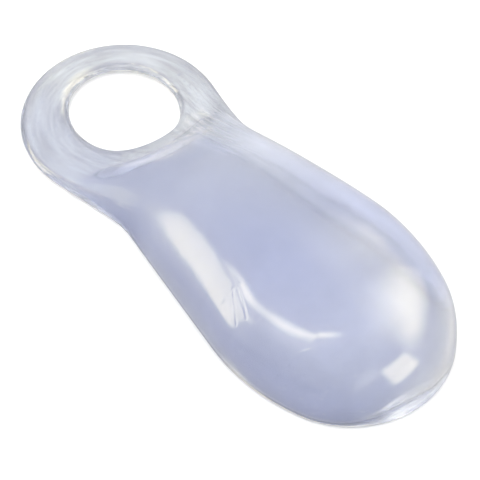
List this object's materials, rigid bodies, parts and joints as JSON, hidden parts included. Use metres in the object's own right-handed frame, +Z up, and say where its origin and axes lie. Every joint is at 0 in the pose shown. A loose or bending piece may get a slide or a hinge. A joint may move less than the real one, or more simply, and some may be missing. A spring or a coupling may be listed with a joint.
{
  "type": "bunion protector",
  "caption": "Soft clear gel shield with a toe ring, a neck and a hollow domed pad that covers the joint of the big toe.",
  "frame": {"origin": "midway along the length and width, on the surface that the rim lies on", "axes": "+X along the length from the toe ring to the pad's tip, +Z up through the dome"},
  "size_m": [0.0822, 0.0326, 0.0153],
  "materials": {
    "gel": "glossy clear lilac gel"
  },
  "bodies": {
    "root": {"gel_shield": "gel"}
  },
  "joints": []
}
